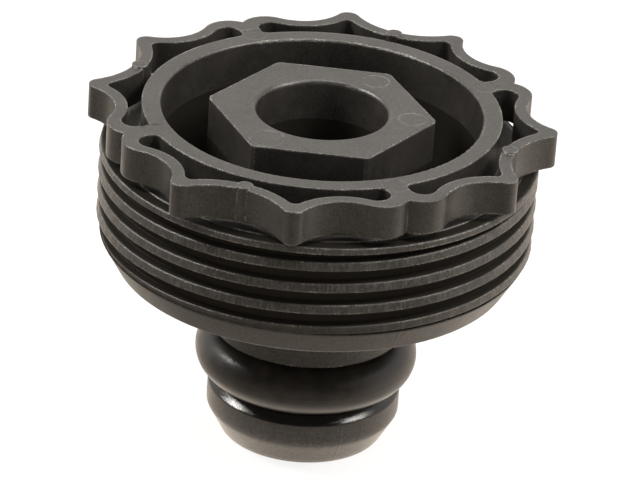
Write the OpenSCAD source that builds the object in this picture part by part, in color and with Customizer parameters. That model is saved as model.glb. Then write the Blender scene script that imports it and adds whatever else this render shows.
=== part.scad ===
// Screw-in housing cap with a wavy hand grip, a hexagon for a wrench and a sealed nose.
// The axis is Z. The origin is the centre of the nose's flat end, on which the cap stands.
// Four bridges tie the grip wall to the rim, and they lie on +X, +Y, -X and -Y.

/* [Nose and O-ring groove] */
// Height of the nose below the groove
nose_h = 9.7; // [8:0.1:14]
// Radius of the nose's straight wall
nose_r = 15.9; // [14:0.1:18]
// Radius of the nose's flat end before its edge is rounded
nose_tip_r = 13.4; // [11:0.1:13.6]
// Height of the nose's tapered end
nose_taper_h = 4.6; // [3:0.1:5.5]
// Radius that rounds the edge of the flat end
nose_edge_r = 0.8; // [0.4:0.1:1.2]
// Bevel on the nose's upper edge
nose_bevel = 1.3; // [0.6:0.1:2]
// Thickness of the O-ring's round section
seal_section = 8.8; // [5:0.1:9]
// Room between the O-ring and each side of its groove
seal_side_clearance = 0.4; // [0.2:0.05:1]
// Gap between the O-ring's inside and the groove's floor
seal_floor_clearance = 0.05; // [0.02:0.01:0.2]
// How far the O-ring stands out of the groove
seal_stand_out = 2.35; // [1:0.05:2.6]

/* [Neck] */
// Height of the neck between the groove and the threaded body
neck_h = 12.1; // [8:0.1:18]
// Radius of the neck
neck_r = 15.9; // [14:0.1:18]
// Fillet where the neck meets the underside of the body
neck_fillet = 1.6; // [0.5:0.1:3]

/* [Threaded body] */
// Height of the plain tapered band below the thread
band_h = 4.4; // [2:0.1:6]
// How far the band's upper edge lies inside the thread's crest
band_drop = 0.6; // [0.3:0.1:1]
// How far the band's lower edge lies inside its upper edge
band_taper = 2.5; // [1:0.1:3.5]
// Height of the threaded wall, from the band up to the shoulder
thread_h = 15.5; // [12:0.1:20]
// Radius at the thread's crest
thread_crest_r = 35.5; // [35.3:0.1:36.5]
// Depth of the thread
thread_depth = 1.7; // [1.2:0.1:1.9]
// Pitch of the thread
thread_pitch = 3.75; // [3.3:0.05:5]
// Height of the thread's crest
thread_crest_w = 1.35; // [0.6:0.05:1.6]
// How far the crest's upper edge lies inside its lower edge
thread_crest_lean = 0.35; // [0:0.05:0.5]
// Height of the crest's upper flank
thread_upper_flank = 0.25; // [0.1:0.05:0.6]
// Height of the crest's lower flank
thread_lower_flank = 0.3; // [0.1:0.05:0.6]
// Turn of the thread's start about the axis, in degrees
thread_turn = 265; // [0:5:355]
// How far the level lip that ends the thread reaches down from the shoulder
lip_h = 1.2; // [0.8:0.1:1.6]
// How far below the shoulder the ridge lies where the lip above it ends
lip_end_drop = 2.5; // [2.3:0.1:3.5]
// Turn over which the groove below the lip grows shallow, in degrees
thread_runout = 65; // [30:5:120]

/* [Shoulder and rim] */
// Step from the shoulder down to the top of the threaded wall
shoulder_step = 0.2; // [0.1:0.05:0.5]
// Open gap between the shoulder and the grip wall above it
grip_gap = 1.3; // [0.8:0.1:4]
// Outer radius of the rim
rim_r = 29.0; // [28:0.1:30]
// Thickness of the rim, which is the wall of the cup
rim_t = 3.1; // [2.5:0.1:4]
// Fillet where the rim meets the shoulder
rim_foot_fillet = 0.7; // [0.3:0.1:1.2]
// Rounding of the rim's edges
rim_edge_r = 0.35; // [0.1:0.05:0.6]

/* [Cup and hexagon] */
// Thickness of the cup's floor
floor_t = 3.0; // [2:0.1:5]
// Fillet in the bottom corner of the cup
floor_fillet = 2.0; // [0.5:0.1:3]
// Width of the hexagon across its flats
hex_af = 32.0; // [27:0.5:36]
// How far the hexagon's corners are rounded back
hex_corner_cut = 0.25; // [0.1:0.05:0.8]
// How far the hexagon's top lies below the rim
hex_drop = 0.3; // [0:0.1:3]
// Radius of the hole in the hexagon
bore_r = 10.6; // [8:0.1:12]
// Rounding of the hole's mouth
bore_mouth_r = 0.7; // [0.3:0.1:1.5]
// How far the wide hole reaches below the cup's floor
bore_below_floor = 12.0; // [0:0.5:12]
// Radius of the narrow hole below the wide one
core_r = 6.4; // [4:0.1:7]
// Thickness left under the narrow hole
core_end_t = 3.2; // [2:0.1:5]

/* [Relief under the body] */
// Thickness of the cup's wall beside the relief groove
cup_wall_t = 2.8; // [2:0.1:3.4]
// Thickness of the threaded wall beside the relief groove
skirt_wall_t = 2.7; // [2:0.1:3.2]
// Thickness left above the relief groove
relief_roof_t = 3.0; // [2:0.1:5]

/* [Grip wall] */
// Height of the grip wall
grip_h = 5.6; // [3:0.1:8]
// Thickness of the grip wall
grip_t = 2.0; // [1.6:0.1:2.2]
// Reach of the grip's points from the axis
point_reach = 37.9; // [37.4:0.1:39]
// Outer rounding of the grip's points
point_r = 1.8; // [1.2:0.1:2.1]
// Inner rounding behind the grip's points
point_inner_r = 1.2; // [0.6:0.1:1.4]
// Angle of the grip's points from the nearest bridge
point_angle = 30; // [28:0.5:32]
// Radius of the long scoop between two points
long_scoop_r = 12.0; // [11.5:0.1:14]
// Radius of the short scoop beside a bridge
short_scoop_r = 8.0; // [7.7:0.1:9]
// Radius of the swell beside a bridge
swell_r = 4.6; // [4.2:0.1:5]
// Reach of the swell from the axis
swell_reach = 35.5; // [35.4:0.05:35.9]
// Angle of the swell from its bridge
swell_angle = 6.1; // [5.9:0.1:6.6]
// Width of a bridge
bridge_w = 3.4; // [2.5:0.1:4]
// Rounding of the pocket beside a bridge, at the grip wall
pocket_r = 2.2; // [1.8:0.1:2.4]
// Rounding of the pocket beside a bridge, at the rim
pocket_foot_r = 1.2; // [0.6:0.1:1.6]
// Radius of the pin mark in the middle of each long scoop
pin_r = 1.3; // [1.1:0.05:1.8]
// How far a pin mark stands above the rim
pin_proud = 0.3; // [0.1:0.1:1]

/* [Ejector marks] */
// Radius of an ejector mark on the rim
mark_r = 2.0; // [1.2:0.1:2.4]
// Depth of an ejector mark
mark_depth = 0.06; // [0.05:0.01:0.2]

/* [Hidden] */
$fn = 96;
bridges = 4;
sector = 360 / bridges;
hex_sides = 6;
// Thread facets in one turn
turn_steps = 72;
// A small overlap, so that joined solids share volume and cuts run past their faces
lap = 0.6;
// How far an outline's straight edges run past the point where two of its arcs touch
seam = 0.1;

// Heights of the levels, from the nose's end up
groove_w = seal_section + 2 * seal_side_clearance;
groove_z = nose_h;
neck_z = groove_z + groove_w;
body_z = neck_z + neck_h;
thread_z = body_z + band_h;
shoulder_z = thread_z + thread_h;
grip_z = shoulder_z + grip_gap;
rim_z = grip_z + grip_h;
floor_z = body_z + floor_t;
hex_z = rim_z - hex_drop;

// Radii that follow from the others
seal_out_r = nose_r + seal_stand_out;
seal_mid_r = seal_out_r - seal_section / 2;
groove_r = seal_out_r - seal_section - seal_floor_clearance;
thread_root_r = thread_crest_r - thread_depth;
band_top_r = thread_crest_r - band_drop;
band_low_r = band_top_r - band_taper;
cup_r = rim_r - rim_t;
hex_corner_r = hex_af / 2 / cos(180 / hex_sides);

// A point at radius r and angle a
function polar(r, a) = [r * cos(a), r * sin(a)];

// The same point in the next sector, counted n times
function turned(p, n) = polar(norm(p), atan2(p[1], p[0]) + n * sector);

// The point mirrored in the middle of its sector
function mirrored(p) = polar(norm(p), sector - atan2(p[1], p[0]));

// The point on the line from a to b that lies d from a
function along(a, b, d) = a + (b - a) * d / norm(b - a);

// A point inside the disc of radius r at c, a hair to the right of the way to s for side 1
function inside(c, s, r, side) =
    let (u = (s - c) / norm(s - c))
    c + u * r / 2 + [u[1], -u[0]] * seam * side;

// The point that lies da from a and db from b, to the right of the way from a to b for side 1
function meet(a, da, b, db, side) =
    let (
        d = norm(b - a),
        u = (b - a) / d,
        s = (da * da - db * db + d * d) / (2 * d),
        h = sqrt(da * da - s * s)
    )
    a + u * s + [u[1], -u[0]] * h * side;

// Centres of the circles that make the grip wall, in the sector above the +X bridge
point_c = polar(point_reach - point_r, point_angle);
swell_c = polar(swell_reach - swell_r, swell_angle);
long_c = meet(mirrored(point_c), long_scoop_r + point_r, point_c, long_scoop_r + point_r, -1);
short_c = meet(point_c, short_scoop_r + point_r, swell_c, short_scoop_r + swell_r, -1);
notch = [swell_c[0] + sqrt(swell_r * swell_r - swell_c[1] * swell_c[1]), 0];

// Centres of the circles that make the pockets inside the grip wall
long_in_r = long_scoop_r + grip_t;
short_in_r = short_scoop_r + grip_t;
point_in_c = meet(short_c, short_in_r + point_inner_r, long_c, long_in_r + point_inner_r, -1);
pocket_c = [
    short_c[0] - sqrt(pow(short_in_r + pocket_r, 2) - pow(short_c[1] - bridge_w / 2 - pocket_r, 2)),
    bridge_w / 2 + pocket_r
];
foot_c = [
    sqrt(pow(rim_r + pocket_foot_r, 2) - pow(bridge_w / 2 + pocket_foot_r, 2)),
    bridge_w / 2 + pocket_foot_r
];

// Radius of the grip wall's middle in a long scoop
pin_mid_r = norm(long_c) - long_scoop_r - grip_t / 2;

module each_sector() {
    for (n = [0 : bridges - 1])
        rotate(n * sector)
            children();
}

// What is drawn for the lower half of a sector, and its mirror image in the upper half
module both_halves() {
    children();
    rotate(sector)
        mirror([0, 1])
            children();
}

module disc(centre, r) {
    translate(centre)
        circle(r = r);
}

// Outer outline of the grip wall, filled in
module grip_outline() {
    half = [
        notch,
        inside(swell_c, short_c, swell_r, 1),
        short_c,
        inside(point_c, short_c, point_r, -1),
        inside(point_c, long_c, point_r, 1)
    ];
    one = concat(half, [long_c], [for (i = [4 : -1 : 1]) mirrored(half[i])]);
    difference() {
        union() {
            polygon([for (n = [0 : bridges - 1], p = one) turned(p, n)]);
            each_sector()
                both_halves() {
                    disc(swell_c, swell_r);
                    disc(point_c, point_r);
                }
        }
        each_sector() {
            disc(long_c, long_scoop_r);
            both_halves()
                disc(short_c, short_scoop_r);
        }
    }
}

// One pocket between two bridges, before the rim is added back
module pocket_outline() {
    half = [
        [rim_r - lap, bridge_w / 2],
        [pocket_c[0], bridge_w / 2],
        inside(pocket_c, short_c, pocket_r, 1),
        short_c,
        inside(point_in_c, short_c, point_inner_r, -1),
        inside(point_in_c, long_c, point_inner_r, 1)
    ];
    difference() {
        union() {
            polygon(concat(half, [long_c], [for (i = [5 : -1 : 0]) mirrored(half[i])]));
            both_halves() {
                disc(pocket_c, pocket_r);
                disc(point_in_c, point_inner_r);
            }
        }
        disc(long_c, long_in_r);
        both_halves()
            disc(short_c, short_in_r);
        circle(r = rim_r);
    }
}

// The rounded corner between a bridge and the rim
module pocket_foot() {
    difference() {
        polygon([
            [rim_r - rim_t / 2, 0],
            [foot_c[0], 0],
            foot_c,
            along([0, 0], foot_c, rim_r),
            along([0, 0], foot_c, rim_r - rim_t / 2)
        ]);
        disc(foot_c, pocket_foot_r);
    }
}

// The wavy grip wall, its bridges and its pin marks
module grip() {
    translate([0, 0, grip_z])
        linear_extrude(grip_h) {
            difference() {
                grip_outline();
                each_sector()
                    pocket_outline();
                circle(r = rim_r - rim_t / 2);
            }
            each_sector()
                both_halves()
                    pocket_foot();
        }
    each_sector()
        rotate(sector / 2)
            translate([pin_mid_r, 0, grip_z])
                cylinder(r = pin_r, h = grip_h + pin_proud);
}

// Half section of the nose, groove, neck, body, shoulder and rim, with the cup still filled in
module body_section() {
    inner_r = thread_root_r - lap;
    difference() {
        polygon([
            [0, 0],
            [nose_tip_r, 0],
            [nose_r, nose_taper_h],
            [nose_r, nose_h - nose_bevel],
            [nose_r - nose_bevel, nose_h],
            [groove_r, nose_h],
            [groove_r, neck_z],
            [neck_r, neck_z],
            [neck_r, body_z],
            [band_low_r, body_z],
            [band_top_r, thread_z],
            [inner_r, thread_z + thread_upper_flank],
            [inner_r, shoulder_z],
            [rim_r, shoulder_z],
            [rim_r, rim_z],
            [0, rim_z]
        ]);
        // the nose's end edge, rounded
        corner_round([nose_tip_r, 0], [0, 0], [nose_r, nose_taper_h], nose_edge_r);
        // the rim's outer edge, rounded
        corner_round([rim_r, rim_z], [0, rim_z], [rim_r, grip_z], rim_edge_r);
    }
    corner_round([neck_r, body_z], [neck_r, neck_z], [band_low_r, body_z], neck_fillet);
    corner_round([rim_r, shoulder_z], [rim_r, rim_z], [inner_r, shoulder_z], rim_foot_fillet);
}

// What lies between corner c, whose sides run to a and b, and the arc that rounds it
module corner_round(c, a, b, r) {
    ua = (a - c) / norm(a - c);
    ub = (b - c) / norm(b - c);
    half = acos(ua * ub) / 2;
    reach = r / tan(half);
    middle = c + (ua + ub) / norm(ua + ub) * r / sin(half);
    difference() {
        polygon([c, c + ua * reach, middle, c + ub * reach]);
        disc(middle, r);
    }
}

// Half section of the cup's inside
module cup_section() {
    difference() {
        translate([0, floor_z])
            square([cup_r, rim_z - floor_z + lap]);
        corner_round([cup_r, floor_z], [0, floor_z], [cup_r, rim_z], floor_fillet);
    }
    corner_round([cup_r, rim_z], [rim_r, rim_z], [cup_r, floor_z], rim_edge_r);
}

// Half section of the stepped blind hole, with its rounded mouth
module bore_section() {
    step_z = floor_z - bore_below_floor;
    translate([0, core_end_t])
        square([core_r, step_z]);
    translate([0, step_z])
        square([bore_r, hex_z - step_z + lap]);
    corner_round([bore_r, hex_z], [bore_r, step_z], [hex_af / 2, hex_z], bore_mouth_r);
}

// Half section of the groove that keeps the wall between cup and thread even, open below
module relief_section() {
    translate([cup_r + cup_wall_t, body_z - lap])
        square([
            thread_root_r - skirt_wall_t - cup_r - cup_wall_t,
            shoulder_z - relief_roof_t - body_z + lap
        ]);
}

// Greatest radius of the thread at height z: it fades into the band below
function thread_limit(z) =
    min(thread_crest_r, max(thread_root_r + 0.05, band_top_r + (z - thread_z) * 0.5));

// The threaded wall: one ridge wound round the root, cut off level inside the band and at the top.
// Its uppermost stretch widens into a level lip, and the groove below the lip fades out.
module thread_sleeve() {
    cut_low = thread_z - band_h / 5;
    cut_high = shoulder_z - shoulder_step;
    turns = ceil((cut_high - cut_low) / thread_pitch) + 2;
    stations = turns * turn_steps;
    start_z = cut_low - 1.5 * thread_pitch;
    lip_z = shoulder_z - lip_h;
    // the last station of the groove below the lip
    last = (shoulder_z - lip_end_drop - start_z) / thread_pitch * turn_steps;
    heights = [
        -thread_crest_w / 2 - thread_lower_flank,
        -thread_crest_w / 2,
        thread_crest_w / 2,
        thread_crest_w / 2 + thread_upper_flank
    ];
    m = len(heights);
    // Share by which the groove above the ridge at station u is filled, from 0 to 1
    function filled(u) =
        u > last ? 0 : max(0, min(1, 1.3 - 1.3 * (last - u) * 360 / turn_steps / thread_runout));
    // Station u, section point i: lower root, crest's lower edge, crest's upper edge, upper root
    function spot(u, i) =
        let (
            high = start_z + thread_pitch * u / turn_steps + heights[i],
            beyond = u > last + turn_steps,
            z = beyond || i > 1 ? high : min(high, lip_z + heights[i] - heights[1]),
            crest = thread_limit(z) - (i == 1 ? 0 : thread_crest_lean),
            share = beyond ? 0 : [filled(u - turn_steps), 1, 1, filled(u)][i],
            a = thread_turn + 360 * u / turn_steps
        )
        concat(polar(thread_root_r + (crest - thread_root_r) * share, a), z);
    points = concat(
        [for (u = [0 : stations], i = [0 : m - 1]) spot(u, i)],
        [
            [0, 0, start_z],
            [0, 0, start_z + turns * thread_pitch]
        ]
    );
    low = (stations + 1) * m;
    high = low + 1;
    ridge = [
        for (u = [0 : stations - 1], i = [0 : m - 2])
            [u * m + i, u * m + i + 1, (u + 1) * m + i + 1, (u + 1) * m + i]
    ];
    root = [
        for (u = [0 : stations - turn_steps - 1])
            [
                u * m + m - 1,
                (u + turn_steps) * m,
                (u + turn_steps + 1) * m,
                (u + 1) * m + m - 1
            ]
    ];
    low_ramp = [for (u = [0 : turn_steps - 1]) [low, u * m, (u + 1) * m]];
    low_step = [for (i = [0 : m - 2]) [low, i + 1, i]];
    high_ramp = [
        for (u = [stations - turn_steps : stations - 1])
            [high, (u + 1) * m + m - 1, u * m + m - 1]
    ];
    high_step = [for (i = [0 : m - 2]) [high, stations * m + i, stations * m + i + 1]];
    ends = [
        [low, turn_steps * m, m - 1],
        [high, (stations - turn_steps) * m + m - 1, stations * m]
    ];
    intersection() {
        polyhedron(points, concat(ridge, root, low_ramp, low_step, high_ramp, high_step, ends));
        translate([0, 0, cut_low])
            cylinder(r = thread_crest_r + 2 * lap, h = cut_high - cut_low);
    }
}

// The hexagon for the wrench, standing on the cup's floor
module hexagon() {
    intersection() {
        translate([0, 0, floor_z - lap])
            rotate(180 / hex_sides)
                cylinder(r = hex_corner_r, h = hex_z - floor_z + lap, $fn = hex_sides);
        translate([0, 0, floor_z - 2 * lap])
            cylinder(r = hex_corner_r - hex_corner_cut, h = rim_z - floor_z + 3 * lap);
    }
}

// Shallow round marks where the bridges meet the rim
module ejector_marks() {
    each_sector()
        translate([rim_r - mark_depth, 0, rim_z - mark_depth])
            cylinder(r = mark_r, h = mark_depth + lap);
}

module cap_body() {
    color([0.09, 0.085, 0.08])
        difference() {
            union() {
                difference() {
                    union() {
                        rotate_extrude()
                            body_section();
                        thread_sleeve();
                        grip();
                    }
                    rotate_extrude()
                        cup_section();
                    rotate_extrude()
                        relief_section();
                }
                hexagon();
            }
            rotate_extrude()
                bore_section();
            ejector_marks();
        }
}

module nose_o_ring() {
    color([0.05, 0.05, 0.05])
        translate([0, 0, groove_z + groove_w / 2])
            rotate_extrude()
                translate([seal_mid_r, 0])
                    circle(r = seal_section / 2);
}

cap_body();
nose_o_ring();
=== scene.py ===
import math

import bpy
from mathutils import Matrix, Vector


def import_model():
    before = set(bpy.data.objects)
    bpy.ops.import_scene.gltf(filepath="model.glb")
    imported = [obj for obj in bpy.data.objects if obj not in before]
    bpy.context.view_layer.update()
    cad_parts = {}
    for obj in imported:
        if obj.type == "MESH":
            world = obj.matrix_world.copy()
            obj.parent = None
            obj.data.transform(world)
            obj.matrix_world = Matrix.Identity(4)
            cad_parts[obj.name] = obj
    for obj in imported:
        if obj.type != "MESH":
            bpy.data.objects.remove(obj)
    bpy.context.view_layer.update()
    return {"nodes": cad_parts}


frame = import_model()
body = frame["nodes"]["cap_body"]
ring = frame["nodes"]["nose_o_ring"]


# The part's own sizes, in millimetres; heights are above the nose's flat end

BEVEL_Z, BEVEL_WIDTH = 9.1, 1.5
RING_Z = 14.5
THREAD_LOW, THREAD_HIGH = 35.2, 51.1
CREST_R = 35.5
SEAM_TOP = 52.4
HEX_TOP = 57.9
EJECTOR_MARKS = ((12.6, 7.3, 2.2), (12.6, -7.3, 2.2), (-12.6, -7.3, 2.8))  # x, y and radius

# Rounding of the edges, in metres: well rounded on the nose's end, crisp above it
NOSE_EDGE, EDGE = 0.0018, 0.0005
NOSE_EDGE_HIGH, EDGE_LOW = 7.0, 8.0

PLASTIC = {
    "deep": (0.011, 0.010, 0.0085, 1),
    "worn": (0.020, 0.018, 0.016, 1),
    "cloud": (0.036, 0.033, 0.029, 1),
    "mark rim": (0.16, 0.15, 0.14, 1),
    "seam": (0.012, 0.010, 0.008, 1),
    "grain": (0.045, 0.042, 0.038, 1),
    "scuff": (0.075, 0.070, 0.064, 1),
    # painted shade for the thread's grooves
    "painted_groove_shade": (0.013, 0.0115, 0.0095, 1),
    # pale specks along the edges, partly painted highlight
    "pale_specks_and_highlight": (0.32, 0.30, 0.28, 1),
    "polish": (0.004, 0.0035, 0.003, 1),
}
RUBBER = {
    "clean": (0.009, 0.0075, 0.006, 1),
    "dusty": (0.022, 0.018, 0.015, 1),
}
REFRACTION = 1.5  # of both materials


# Nodes

class Nodes:
    """Adds shader nodes to one material or world."""

    def __init__(self, owner):
        owner.use_nodes = True
        self.tree = owner.node_tree
        self.tree.nodes.clear()

    def put(self, socket, value):
        if isinstance(value, bpy.types.NodeSocket):
            self.tree.links.new(value, socket)
        else:
            socket.default_value = value

    def add(self, kind, inputs=None, **settings):
        node = self.tree.nodes.new(kind)
        for name, value in settings.items():
            setattr(node, name, value)
        for name, value in (inputs or {}).items():
            self.put(node.inputs[name], value)
        return node

    def mm(self):
        """The piece's own coordinates, in millimetres."""
        place = self.add("ShaderNodeTexCoord").outputs["Object"]
        scale = self.add("ShaderNodeVectorMath", {0: place, 1: (1000, 1000, 1000)},
                         operation="MULTIPLY")
        return scale.outputs[0]

    def split(self, vector):
        return self.add("ShaderNodeSeparateXYZ", {0: vector}).outputs

    def vector(self, x, y, z=0.0):
        return self.add("ShaderNodeCombineXYZ", {0: x, 1: y, 2: z}).outputs[0]

    def length(self, vector):
        node = self.add("ShaderNodeVectorMath", {0: vector}, operation="LENGTH")
        return node.outputs["Value"]

    def noise(self, where, scale, detail, rough):
        node = self.add("ShaderNodeTexNoise", {
            "Vector": where, "Scale": scale, "Detail": detail, "Roughness": rough})
        return node.outputs["Fac"]

    def ramp(self, value, low, high, out_low=0.0, out_high=1.0):
        """out_low at low, out_high at high, straight between them and level beyond."""
        node = self.add("ShaderNodeMapRange", {
            "Value": value, "From Min": low, "From Max": high,
            "To Min": out_low, "To Max": out_high})
        return node.outputs["Result"]

    def math(self, operation, a, b=0.0):
        return self.add("ShaderNodeMath", {0: a, 1: b}, operation=operation).outputs[0]

    def largest(self, a, b):
        return self.math("MAXIMUM", a, b)

    def product(self, *values):
        result = values[0]
        for value in values[1:]:
            result = self.math("MULTIPLY", result, value)
        return result

    def total(self, *values):
        result = values[0]
        for value in values[1:]:
            result = self.math("ADD", result, value)
        return result

    def mix(self, amount, a, b):
        node = self.add("ShaderNodeMix", data_type="RGBA")
        for place, value in ((0, amount), (6, a), (7, b)):  # its three inputs for colours
            self.put(node.inputs[place], value)
        return node.outputs[2]

    def line(self, value, middle, width, soft):
        """1 where the value is within half a width of the middle, and 0 beyond a soft margin."""
        distance = self.math("ABSOLUTE", self.math("SUBTRACT", value, middle))
        return self.ramp(distance, width / 2 + soft, width / 2)


# Materials

def rounded_edges_specks_and_highlight(n, at, z):
    """The normal with its edges rounded, and pale specks along the edges: partly fibre specks
    where they are worn, partly painted highlight.
    """
    normal = n.add("ShaderNodeNewGeometry").outputs["True Normal"]
    radius = n.ramp(z, NOSE_EDGE_HIGH, EDGE_LOW, NOSE_EDGE, EDGE)
    rounded = n.add("ShaderNodeBevel", {"Radius": radius}, samples=8).outputs["Normal"]
    bend = n.add("ShaderNodeVectorMath", {0: rounded, 1: normal}, operation="DOT_PRODUCT")
    edge = n.ramp(bend.outputs["Value"], 0.999, 0.94)
    specks = n.ramp(n.noise(at, 3.0, 4, 0.8), 0.47, 0.66)
    pale_specks_and_highlight = n.ramp(n.noise(at, 0.22, 2, 0.5), 0.40, 0.58, 0.2, 1)
    above_nose = n.ramp(z, 9.0, 20.0)
    # painted highlight, in part: pale specks along every edge where the rounded normal bends
    return rounded, n.product(edge, specks, pale_specks_and_highlight, above_nose)


def thread_shade_and_scratches(n, x, y, z):
    """Painted shade in the thread's grooves, and fine scratches across its crests."""
    out = n.length(n.vector(x, y))
    threaded = n.product(n.ramp(z, THREAD_LOW, THREAD_LOW + 0.6),
                         n.ramp(z, THREAD_HIGH + 0.1, THREAD_HIGH))
    # painted shade: the grooves between the crests get a darker colour and reflect less
    groove_shade_mask = n.product(threaded, n.ramp(out, CREST_R - 0.35, CREST_R - 0.75))
    crest = n.product(threaded, n.ramp(out, CREST_R - 0.55, CREST_R - 0.30))
    round_way = n.product(n.math("ARCTAN2", y, x), CREST_R)
    streaked = n.vector(n.product(round_way, 2.4), n.product(out, 0.5), n.product(z, 0.7))
    scratches = n.product(crest, n.ramp(n.noise(streaked, 1.0, 4, 0.65), 0.48, 0.74))
    return groove_shade_mask, scratches


def ejector_marks(n, x, y, z):
    """The faces and the thin rims of the ejector pins' marks on the hexagon's top."""
    normal = n.add("ShaderNodeNewGeometry").outputs["True Normal"]
    own_normal = n.add("ShaderNodeVectorTransform", {0: normal}, vector_type="NORMAL",
                       convert_from="WORLD", convert_to="OBJECT").outputs[0]
    faces_up = n.ramp(n.split(own_normal)[2], 0.90, 0.98)
    on_top = n.product(faces_up, n.ramp(z, HEX_TOP - 0.3, HEX_TOP - 0.1))
    faces, rims = 0.0, 0.0
    for mark_x, mark_y, r in EJECTOR_MARKS:
        away = n.length(n.vector(n.math("SUBTRACT", x, mark_x), n.math("SUBTRACT", y, mark_y)))
        faces = n.largest(faces, n.ramp(away, r + 0.06, r - 0.06))
        rims = n.largest(rims, n.line(away, r, 0.10, 0.16))
    return n.product(faces, on_top), n.product(rims, on_top)


def plastic():
    """Black glass-filled plastic with fine grain, mottling, pale specks along its edges that are
    partly painted highlight, painted shade in the thread's grooves, and the mould's marks.
    """
    mat = bpy.data.materials.new("cap_plastic")
    n = Nodes(mat)
    at = n.mm()
    x, y, z = n.split(at)

    mottle = n.noise(at, 0.10, 4, 0.6)
    cloud = n.noise(at, 0.45, 5, 0.65)
    grain = n.noise(at, 5.0, 3, 0.6)
    fine = n.noise(at, 15.0, 2, 0.5)
    rounded, edge_specks_and_highlight = rounded_edges_specks_and_highlight(n, at, z)
    groove_shade_mask, scratches = thread_shade_and_scratches(n, x, y, z)
    marks, mark_rims = ejector_marks(n, x, y, z)
    edge_specks_and_highlight = n.product(edge_specks_and_highlight, n.ramp(groove_shade_mask, 0, 1, 1, 0))
    polished = n.line(z, BEVEL_Z, BEVEL_WIDTH, 0.1)
    # the mould's parting line, in the plane x = 0 below the grip wall
    seam = n.product(n.line(x, 0.0, 0.10, 0.12), n.ramp(z, SEAM_TOP, SEAM_TOP - 0.4))

    colour = n.mix(n.ramp(mottle, 0.35, 0.65), PLASTIC["deep"], PLASTIC["worn"])
    for layer, amount in (
            ("cloud", n.product(n.ramp(cloud, 0.50, 0.72), 0.35)),
            ("mark rim", n.product(mark_rims, n.ramp(cloud, 0.45, 0.6), 0.35)),
            ("seam", n.product(seam, 0.5)),
            ("grain", n.product(n.ramp(grain, 0.44, 0.66), 0.55)),
            ("scuff", n.product(scratches, 0.6)),
            # painted shade in the thread's grooves
            ("painted_groove_shade", groove_shade_mask),
            # pale specks along the edges: partly fibre specks, partly painted highlight
            ("pale_specks_and_highlight", n.product(edge_specks_and_highlight, 0.75)),
            ("polish", n.product(polished, 0.8))):
        colour = n.mix(amount, colour, PLASTIC[layer])

    unevenness = n.total(mottle, n.product(cloud, 0.6), n.product(fine, 0.4))
    rough = n.ramp(polished, 0, 1, n.ramp(unevenness, 0.7, 1.3, 0.28, 0.44), 0.14)
    sheen = n.ramp(n.noise(at, 2.6, 4, 0.7), 0.38, 0.64, 0.36, 0.62)
    height = n.total(
        grain, n.product(fine, 0.5), n.product(cloud, 1.2), n.product(edge_specks_and_highlight, 1.5),
        n.product(scratches, 1.5), n.product(seam, 2.0), n.product(mark_rims, 2.5),
        n.product(marks, -2.0))
    bump = n.add("ShaderNodeBump", {
        "Strength": 0.5, "Distance": 0.00004, "Height": height, "Normal": rounded})
    shader = n.add("ShaderNodeBsdfPrincipled", {
        "Base Color": colour, "Roughness": rough, "IOR": REFRACTION,
        # the grooves reflect less: painted shade
        "Specular IOR Level": n.ramp(groove_shade_mask, 0, 1, sheen, 0.06),
        "Normal": bump.outputs["Normal"]})
    n.add("ShaderNodeOutputMaterial", {"Surface": shader.outputs[0]})
    return mat


def rubber():
    """Dark moulded rubber with a soft sheen, a little dust and a flash line round its middle."""
    mat = bpy.data.materials.new("seal_rubber")
    n = Nodes(mat)
    at = n.mm()
    z = n.split(at)[2]
    dust = n.ramp(n.noise(at, 0.35, 5, 0.65), 0.45, 0.75)
    fine = n.noise(at, 9.0, 3, 0.6)
    flash = n.line(z, RING_Z, 0.06, 0.10)
    bump = n.add("ShaderNodeBump", {
        "Strength": 0.3, "Distance": 0.00003,
        "Height": n.total(fine, n.product(dust, 0.6), flash)})
    shader = n.add("ShaderNodeBsdfPrincipled", {
        "Base Color": n.mix(dust, RUBBER["clean"], RUBBER["dusty"]),
        "Roughness": n.ramp(n.total(dust, fine), 0.3, 1.3, 0.28, 0.42),
        "IOR": REFRACTION, "Normal": bump.outputs["Normal"]})
    n.add("ShaderNodeOutputMaterial", {"Surface": shader.outputs[0]})
    return mat


def dress(obj, mat):
    obj.data.materials.clear()
    obj.data.materials.append(mat)


dress(body, plastic())
dress(ring, rubber())


# The photograph's camera, fitted as a pinhole; lengths are in metres

TURN = math.radians(-24.77)
ELEVATION = math.radians(25.593)
ROLL = math.radians(3.958)
DISTANCE = 0.700
RIM_Z = 0.0582
PICTURE = (640, 480)
FOCAL_PX = 4365.6
RIM_PX = (322.4, 107.7)
SENSOR_MM = 36
MIDDLE = Vector((0, 0, 0.035))  # the part's middle, at which the softboxes point


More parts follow.
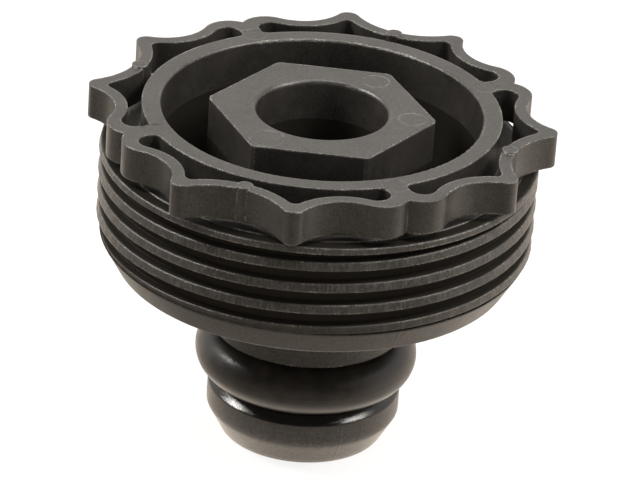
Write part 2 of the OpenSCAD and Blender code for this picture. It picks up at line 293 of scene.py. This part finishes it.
def camera():
    """The rim's centre falls on RIM_PX of the picture."""
    back = Vector((math.sin(TURN) * math.cos(ELEVATION),
                   -math.cos(TURN) * math.cos(ELEVATION),
                   math.sin(ELEVATION)))
    forward = -back
    right = forward.cross(Vector((0, 0, 1))).normalized()
    up = right.cross(forward)
    rolled_right = math.cos(ROLL) * right + math.sin(ROLL) * up
    rolled_up = -math.sin(ROLL) * right + math.cos(ROLL) * up
    seen = Vector(((RIM_PX[0] - PICTURE[0] / 2) / FOCAL_PX,
                   (PICTURE[1] / 2 - RIM_PX[1]) / FOCAL_PX, 1)).normalized()
    swing = Vector((0, 0, 1)).rotation_difference(seen).to_matrix()
    rows = swing @ Matrix((rolled_right, rolled_up, forward))
    cam = bpy.data.cameras.new("camera")
    cam.sensor_fit = "HORIZONTAL"
    cam.sensor_width = SENSOR_MM
    cam.lens = FOCAL_PX * SENSOR_MM / PICTURE[0]
    cam.clip_start, cam.clip_end = 0.01, 20
    obj = bpy.data.objects.new("camera", cam)
    turned = Matrix((rows[0], rows[1], -rows[2])).transposed().to_4x4()
    obj.matrix_world = Matrix.Translation(Vector((0, 0, RIM_Z)) + back * DISTANCE) @ turned
    bpy.context.scene.collection.objects.link(obj)
    bpy.context.scene.camera = obj


# Studio: places are given to the right of the camera's view, away from the camera and up

FLOOR_HALF = 3.0
PAPER = (0.86, 0.83, 0.79, 1)
PAPER_UNDER = (0.42, 0.37, 0.32, 1)  # for the light that the floor throws up on the part
FLOOR_TINT = (1.0, 0.88, 0.75, 1)
SKY_TINT = (1.0, 0.955, 0.91, 1)
WHITE = (1, 1, 1, 1)
FLOOR_SHOWN = 0.85  # share of plain white in the floor as seen, the rest takes the shadow

# How bright the floor and the sky look in a reflection
FLOOR_DIM, FLOOR_BRIGHT, FOOT_GLOW = 0.42, 1.3, 2.1
SKY_DIM, SKY_BRIGHT, ZENITH = 0.08, 1.0, 0.25
SKY_PLAIN = 0.95  # light on matte surfaces

SOFTBOXES = (  # name, place, size and watts
    ("left", (-0.52, 0.07, 0.50), (0.16, 0.24), 6.5),
    ("right", (0.43, -0.09, 0.57), (0.16, 0.24), 6.0),
    ("above", (0, 0.30, 0.90), (0.45, 0.45), 5.0),
)


def studio_ways(n, x, y):
    """How far a point or direction lies to the right of the view, and away from the camera."""
    right = n.total(n.product(x, math.cos(TURN)), n.product(y, math.sin(TURN)))
    away = n.total(n.product(x, -math.sin(TURN)), n.product(y, math.cos(TURN)))
    return right, away


def floor():
    """Pale paper; in reflections it glows at the part's foot and is dim in front."""
    mesh = bpy.data.meshes.new("floor")
    s = FLOOR_HALF
    mesh.from_pydata([(-s, -s, 0), (s, -s, 0), (s, s, 0), (-s, s, 0)], [], [(0, 1, 2, 3)])
    obj = bpy.data.objects.new("floor", mesh)
    bpy.context.scene.collection.objects.link(obj)
    mat = bpy.data.materials.new("floor")
    n = Nodes(mat)
    path = n.add("ShaderNodeLightPath").outputs
    seen = n.largest(path["Is Camera Ray"], path["Is Transmission Ray"])
    share = n.total(n.product(seen, FLOOR_SHOWN), path["Is Glossy Ray"])
    at = n.add("ShaderNodeTexCoord").outputs["Object"]
    x, y, _ = n.split(at)
    right, away = studio_ways(n, x, y)
    foot = n.ramp(n.length(at), 0.017, 0.030, FOOT_GLOW, FLOOR_DIM)
    back = n.ramp(n.total(away, n.product(right, 0.45)), -0.040, 0.010, FLOOR_DIM, FLOOR_BRIGHT)
    lit = n.ramp(path["Is Glossy Ray"], 0, 1, 1.0, n.largest(foot, back))
    paper = n.mix(path["Is Diffuse Ray"], PAPER, PAPER_UNDER)
    matte = n.add("ShaderNodeBsdfDiffuse", {"Color": paper})
    tint = n.mix(path["Is Camera Ray"], FLOOR_TINT, WHITE)
    glow = n.add("ShaderNodeEmission", {"Color": tint, "Strength": lit})
    surface = n.add("ShaderNodeMixShader", {0: share, 1: matte.outputs[0], 2: glow.outputs[0]})
    n.add("ShaderNodeOutputMaterial", {"Surface": surface.outputs[0]})
    mesh.materials.append(mat)


def world():
    """White to the camera and plain to matte surfaces; in reflections a dark room in front."""
    w = bpy.data.worlds.new("studio")
    bpy.context.scene.world = w
    n = Nodes(w)
    path = n.add("ShaderNodeLightPath").outputs
    seen = n.largest(path["Is Camera Ray"], path["Is Transmission Ray"])
    x, y, z = n.split(n.add("ShaderNodeTexCoord").outputs["Generated"])
    right, away = studio_ways(n, x, y)
    open_side = n.total(away, n.largest(n.product(right, 0.5), 0.0))
    sky = n.product(n.ramp(open_side, -0.35, 0.35, SKY_DIM, SKY_BRIGHT),
                    n.ramp(z, 0.50, 0.85, 1.0, ZENITH))
    plain = n.total(seen, n.product(path["Is Diffuse Ray"], SKY_PLAIN))
    back = n.add("ShaderNodeBackground", {
        "Color": n.mix(seen, SKY_TINT, WHITE), "Strength": n.largest(plain, sky)})
    n.add("ShaderNodeOutputWorld", {"Surface": back.outputs[0]})


def softbox(name, place, size, watts):
    side, away, height = place
    right_way = Vector((math.cos(TURN), math.sin(TURN), 0))
    away_way = Vector((-math.sin(TURN), math.cos(TURN), 0))
    light = bpy.data.lights.new(name, "AREA")
    light.shape = "RECTANGLE"
    light.size, light.size_y = size
    light.energy = watts
    light.color = (1.0, 0.97, 0.93)
    obj = bpy.data.objects.new(name, light)
    obj.location = right_way * side + away_way * away + Vector((0, 0, height))
    obj.rotation_mode = "QUATERNION"
    obj.rotation_quaternion = (obj.location - MIDDLE).to_track_quat("Z", "Y")
    bpy.context.scene.collection.objects.link(obj)


floor()
world()
camera()
for softbox_values in SOFTBOXES:
    softbox(*softbox_values)
bpy.context.scene.view_settings.view_transform = "Standard"
